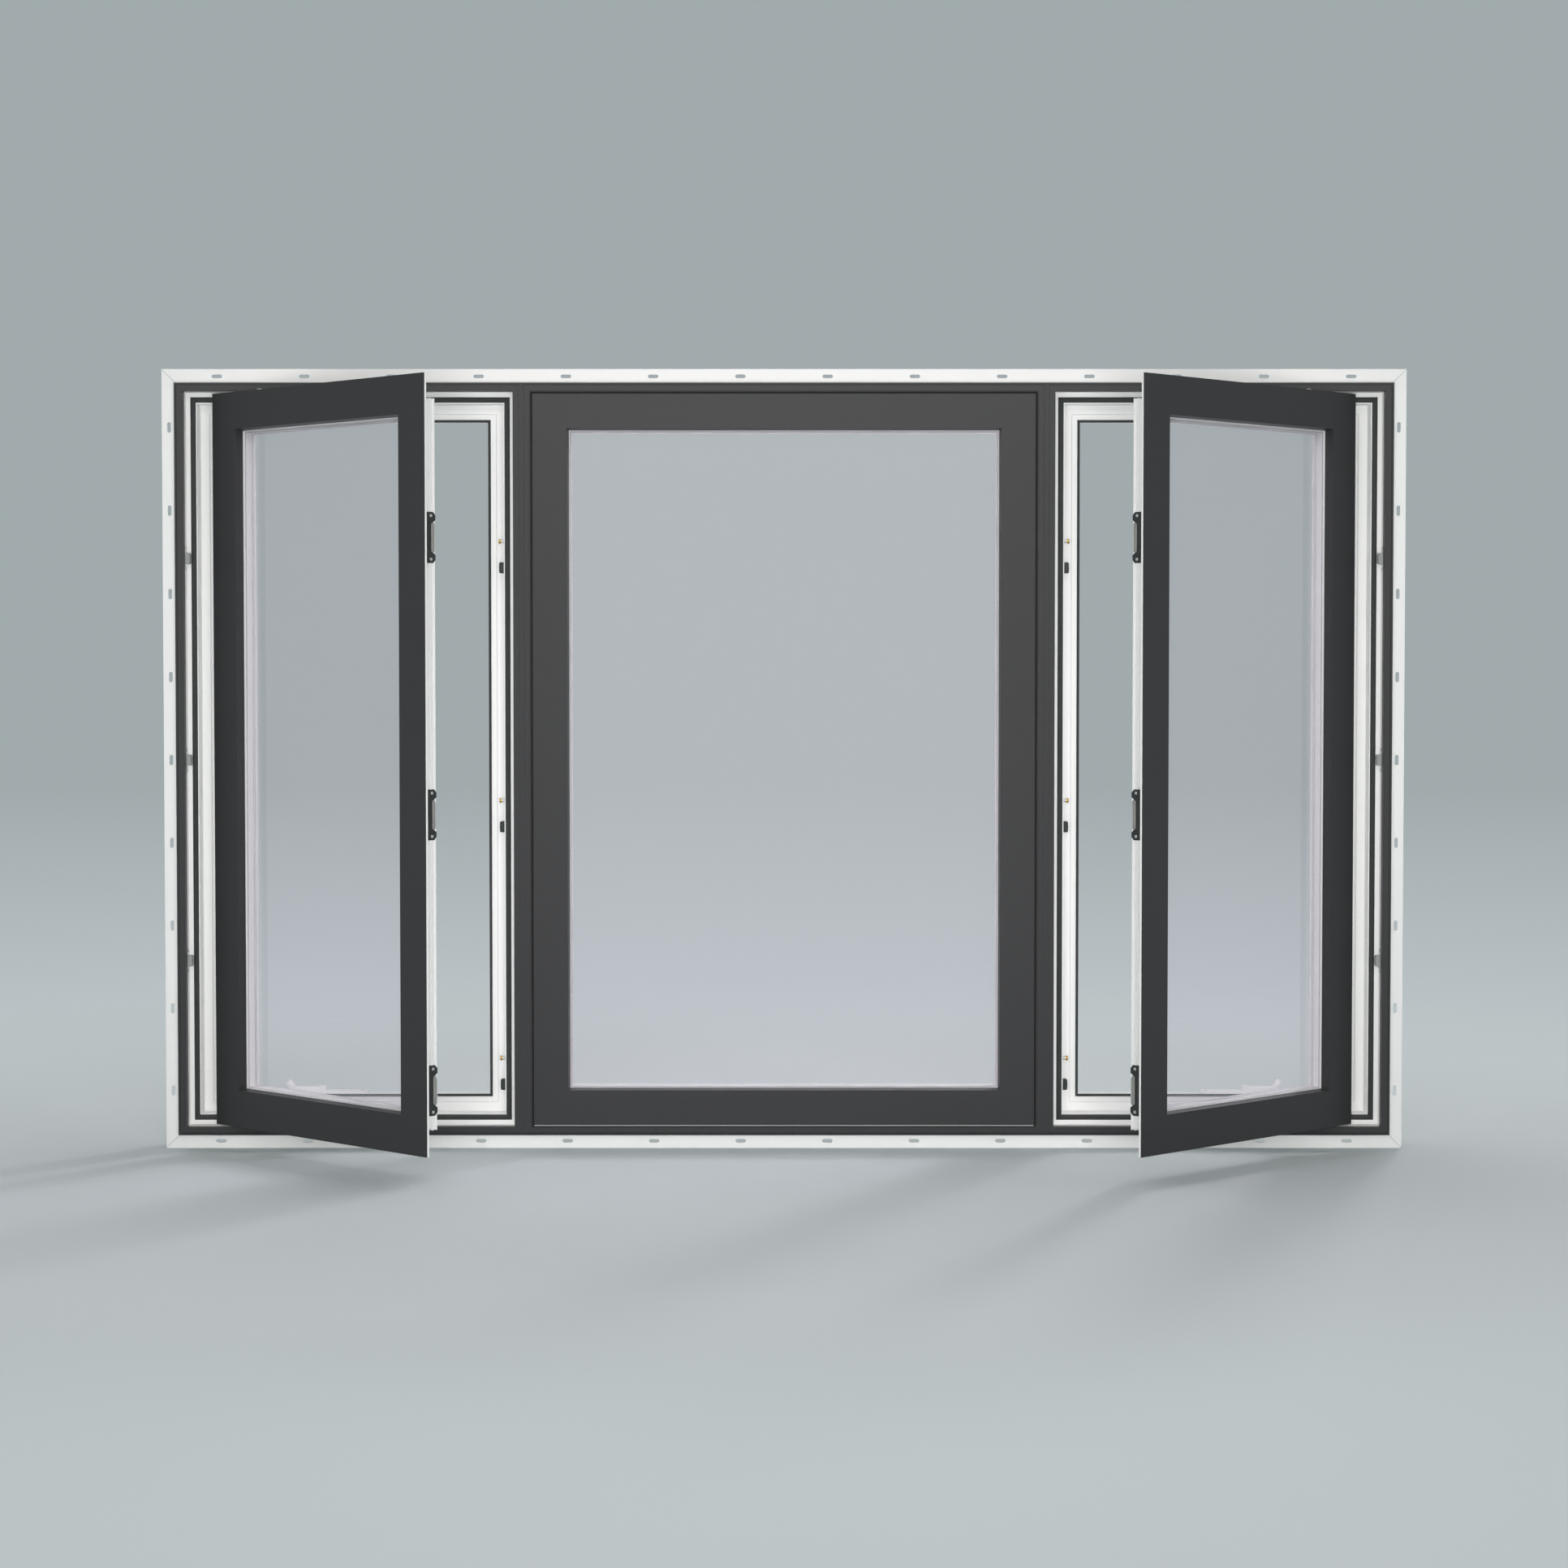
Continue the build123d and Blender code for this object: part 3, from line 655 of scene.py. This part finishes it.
class WINDOW_OT_sashes(bpy.types.Operator):
    """Finishes the sashes and their insulating glass"""

    bl_idname = "window.sashes"
    bl_label = "Sashes and glass"

    def execute(self, context):
        dress("_sash", "_sash_skin", "_glass", "_spacer")
        low, high = shut_box("left_sash_skin")

        def ribs(shape):
            for start, stop in ((49.6, 54.2), (58.8, 62.4)):
                crown = ((44.4, start), (41.9, start + 0.4), (41.7, stop - 0.6), (44.4, stop))
                ring(shape, low, high, (*crown, (46, stop), (46, start)))

        add_pair("sash_edge_ribs", ribs, "white_vinyl", "{}_casement", POSE)
        return {"FINISHED"}


class WINDOW_OT_hinges(bpy.types.Operator):
    """Finishes the hinge tracks, arms and bars"""

    bl_idname = "window.hinges"
    bl_label = "Hinges"

    def execute(self, context):
        dress("hinge_tracks", "_support_arms", "_sash_bars")
        tracks = [solid for solid in solids_of("hinge_tracks") if solid[0].x < 0]
        bars = solids_of("left_sash_bars", POSE.inverted())
        pivot = Vector(JOINTS["left_hinge_swing"]["pos_m"])

        def track_screws(shape):
            for (low, high), up in zip(tracks, (1, -1)):
                floor = low.z + 1.2 * MM if up > 0 else high.z - 1.2 * MM
                tip = high.z if up > 0 else low.z
                for x in (low.x + 5 * MM, pivot.x - 24 * MM, pivot.x + 13 * MM):
                    screw(shape, facing((x, pivot.y, floor), (0, 0, up)), 3.4, 0.35)
                dome = ((0.3, 1.0), (1.8, 0.85), (3.2, 0.4), (3.6, 0), (0.3, 0))
                lathe(shape, facing((pivot.x, pivot.y, tip), (0, 0, up)), dome, closed=True)

        def bar_screws(shape):
            for (low, high), up in zip(bars, (-1, 1)):
                face = high.z - 2.5 * MM if up < 0 else low.z + 2.5 * MM
                for x in (low.x + 32 * MM, low.x + 62 * MM, low.x + 98 * MM):
                    screw(shape, facing((x, (low.y + high.y) / 2, face), (0, 0, up)), 3.6, 1.7)

        add_pair("hinge_track_screws", track_screws, "zinc")
        add_pair("sash_bar_screws", bar_screws, "zinc", "{}_casement", POSE)
        return {"FINISHED"}


class WINDOW_OT_operators(bpy.types.Operator):
    """Finishes the crank operators"""

    bl_idname = "window.operators"
    bl_label = "Crank operators"

    def execute(self, context):
        dress("_operator", "_operator_arm", "_operator_rail", "_crank")
        cover_low, cover_high = solids_of("left_operator")[-1]
        low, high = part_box("left_crank")
        middle = (low.y + high.y) / 2
        hub_size, handle_length, knob_radius, knob_height = 9 * MM, 61 * MM, 8.5 * MM, 15 * MM
        hub = Vector((high.x - hub_size, middle, low.z + hub_size))
        lean = math.radians(33)
        axis = Vector((-math.sin(lean), 0, math.cos(lean)))
        foot = Vector((hub.x - handle_length, middle, low.z + knob_radius * math.sin(lean)))
        knob = foot + axis * knob_height
        hub_cap = ((8.9, -1), (8.6, 0.4), (7.4, 1.1), (5.2, 1.5), (0.1, 1.7))
        knob_cap = ((8.4, -1.5), (8.3, 0.3), (7.6, 1.5), (5.6, 2.5), (3.0, 3.0), (0.1, 3.2))

        def crank_caps(shape):
            lathe(shape, facing(hub, (0, 0, 1)), hub_cap)
            lathe(shape, facing(knob, axis), knob_cap)

        def cover_screws(shape):
            for x in (cover_low.x + 13 * MM, cover_high.x - 13 * MM):
                screw(shape, facing((x, (cover_low.y + cover_high.y) / 2, cover_high.z), (0, 0, 1)), 3.2, 1.4)
            screw(shape, facing(hub + Vector((0, 0, 1.6 * MM)), (0, 0, 1)), 2.4, 0.9)

        frame_low, frame_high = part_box("left_frame")
        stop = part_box("left_gasket")[1].y

        def arm_slot(shape):
            spot = (frame_low.x + 380.3 * MM, stop + 40 * MM, frame_low.z + 51 * MM)
            plate(shape, facing(spot, (0, -1, 0)), bar(21.5, 2.6), 0.6, 0.3)

        add_pair("crank_caps", crank_caps, "white_vinyl")
        add_pair("operator_screws", cover_screws, "zinc")
        add_pair("operator_arm_slot", arm_slot, "black_plastic")
        return {"FINISHED"}


class WINDOW_OT_locks(bpy.types.Operator):
    """Finishes the lock pins, guides, keepers, levers and snubbers"""

    bl_idname = "window.locks"
    bl_label = "Locks"

    def execute(self, context):
        dress("lock_pins", "lock_guides", "_keepers", "_keeper_ramps", "lock_levers", "snubbers")
        keepers = solids_of("left_keepers", POSE.inverted())
        pins, guides, levers, snubbers = (
            [solid for solid in solids_of(name) if solid[0].x < 0]
            for name in ("lock_pins", "lock_guides", "lock_levers", "snubbers"))

        def keeper_screws(shape):
            for low, high in keepers:
                for rise in (-41, 41):
                    spot = (high.x, (low.y + high.y) / 2 - 1 * MM, (low.z + high.z) / 2 + rise * MM)
                    screw(shape, facing(spot, (1, 0, 0)), 3.0, 1.5)

        def jamb_screws(shape):
            for low, high in guides:
                spot = (low.x, (low.y + high.y) / 2, (low.z + high.z) / 2)
                screw(shape, facing(spot, (-1, 0, 0)), 3.2, 1.2)
            for low, high in snubbers:
                for rise in (-21, 21):
                    spot = (low.x, (low.y + high.y) / 2, (low.z + high.z) / 2 + rise * MM)
                    screw(shape, facing(spot, (1, 0, 0)), 3.6, 1.6)

        def pin_sleeves(shape):
            sleeve = (
                (2.7, 0), (6.2, 0), (6.2, 0.7), (5.4, 1.3), (3.5, 1.3), (3.3, 1.8), (3.3, 6.6), (2.7, 6.9))
            for low, high in pins:
                spot = (high.x, (low.y + high.y) / 2, (low.z + high.z) / 2)
                lathe(shape, facing(spot, (-1, 0, 0)), sleeve, closed=True)

        def pin_tips(shape):
            tip = ((4.4, -1.8), (5.3, -1.6), (5.5, -1.2), (5.5, -0.2), (5.0, 0.4), (2.2, 0.7), (0.1, 0.8))
            for low, high in pins:
                spot = (low.x, (low.y + high.y) / 2, (low.z + high.z) / 2)
                lathe(shape, facing(spot, (-1, 0, 0)), tip)

        def lever_boss(shape):
            for low, high in levers:
                spot = Vector(((low.x + high.x) / 2, high.y, high.z - 58 * MM))
                boss = ((11, -3), (11, 0.4), (9.8, 1.8), (7.2, 2.6), (3.6, 3.0), (0.1, 3.1))
                lathe(shape, facing(spot, (0, 1, 0)), boss)
                for drop in (62, 70, 78, 86):
                    place = facing(spot - Vector((0, 0, drop * MM)), (0, 1, 0))
                    plate(shape, place, bar(11, 3), 1.1, 0.7)

        def lever_screws(shape):
            for low, high in levers:
                spot = Vector(((low.x + high.x) / 2, high.y - 7 * MM, high.z - 13 * MM))
                screw(shape, facing(spot, (0, 1, 0)), 3.6, 1.5)

        add_pair("keeper_screws", keeper_screws, "zinc", "{}_casement", POSE)
        add_pair("jamb_screws", jamb_screws, "zinc")
        add_pair("lock_pin_sleeves", pin_sleeves, "stainless_steel")
        add_pair("lock_pin_tips", pin_tips, "brass")
        add_pair("lever_bosses", lever_boss, "white_vinyl")
        add_pair("lever_screws", lever_screws, "zinc")
        return {"FINISHED"}


STEPS = (
    WINDOW_OT_frames,
    WINDOW_OT_seals,
    WINDOW_OT_sashes,
    WINDOW_OT_hinges,
    WINDOW_OT_operators,
    WINDOW_OT_locks,
    WINDOW_OT_studio,
)


class VIEW3D_PT_window(bpy.types.Panel):
    """Lists the steps that dress the window"""

    bl_label = "Triple casement window"
    bl_space_type = "VIEW_3D"
    bl_region_type = "UI"
    bl_category = "Window"

    def draw(self, context):
        for step in STEPS:
            self.layout.operator(step.bl_idname)


CLASSES = (WindowFinishes, WindowStudio, *STEPS, VIEW3D_PT_window)


def register():
    for kind in CLASSES:
        bpy.utils.register_class(kind)
    bpy.types.Scene.window_finishes = bpy.props.PointerProperty(type=WindowFinishes)
    bpy.types.Scene.window_studio = bpy.props.PointerProperty(type=WindowStudio)


def unregister():
    del bpy.types.Scene.window_studio
    del bpy.types.Scene.window_finishes
    for kind in reversed(CLASSES):
        bpy.utils.unregister_class(kind)


def main():
    register()
    for step in STEPS:
        group, name = step.bl_idname.split(".")
        getattr(getattr(bpy.ops, group), name)()


if __name__ == "__main__":
    main()
